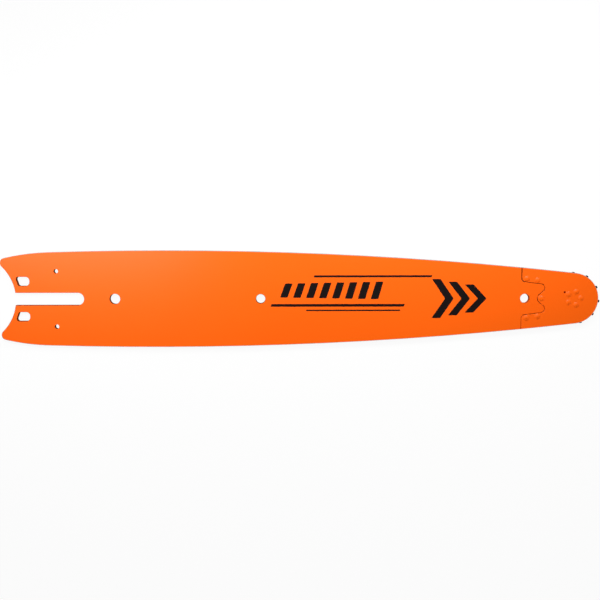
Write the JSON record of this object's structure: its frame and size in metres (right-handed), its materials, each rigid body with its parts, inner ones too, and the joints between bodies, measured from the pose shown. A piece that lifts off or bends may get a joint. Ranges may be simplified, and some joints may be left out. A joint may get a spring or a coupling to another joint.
{
  "type": "harvester guide bar",
  "caption": "Flat guide bar for a timber harvester's saw: slotted clamp tail, chain groove along both edges, and a riveted nose with a free-turning toothed sprocket.",
  "frame": {"origin": "centre of the clamp slot's round end, halfway through the bar's thickness, in the plane of the chain", "axes": "+X along the bar to the nose, +Y across the bar to one chain edge, +Z out of the upper side face"},
  "size_m": [0.7636, 0.1232, 0.0092],
  "materials": {
    "orange_paint": "satin-gloss orange enamel over steel",
    "sprocket_steel": "dark hardened steel",
    "bearing_steel": "ground bearing steel, greased",
    "cage_steel": "pressed steel",
    "rail_steel": "bare ground steel of the chain rails",
    "black_print": "thin satin black print"
  },
  "bodies": {
    "bar": {"bar_body": "orange_paint", "nose_plate_upper": "orange_paint", "nose_plate_lower": "orange_paint", "nose_rivets": "orange_paint", "hub_rivets": "orange_paint", "bearing_hub": "bearing_steel"},
    "sprocket": {"nose_sprocket": "sprocket_steel"},
    "rollers": {"bearing_cage": "cage_steel", "bearing_roller_01": "bearing_steel", "bearing_roller_02": "bearing_steel", "bearing_roller_03": "bearing_steel", "bearing_roller_04": "bearing_steel", "bearing_roller_05": "bearing_steel", "bearing_roller_06": "bearing_steel", "bearing_roller_07": "bearing_steel", "bearing_roller_08": "bearing_steel", "bearing_roller_09": "bearing_steel", "bearing_roller_10": "bearing_steel", "bearing_roller_11": "bearing_steel", "bearing_roller_12": "bearing_steel", "bearing_roller_13": "bearing_steel", "bearing_roller_14": "bearing_steel", "bearing_roller_15": "bearing_steel", "bearing_roller_16": "bearing_steel"}
  },
  "joints": [
    {"name": "sprocket_spin", "type": "hinge", "parent": "bar", "child": "sprocket", "pos_m": [0.6323, 0, 0], "axis": [0, 0, 1], "continuous": true},
    {"name": "cage_orbit", "type": "hinge", "parent": "bar", "child": "rollers", "pos_m": [0.6323, 0, 0], "axis": [0, 0, 1], "continuous": true}
  ],
  "couplings": [
    {"joint": "cage_orbit", "follows": "sprocket_spin", "ratio": 0.5563}
  ]
}
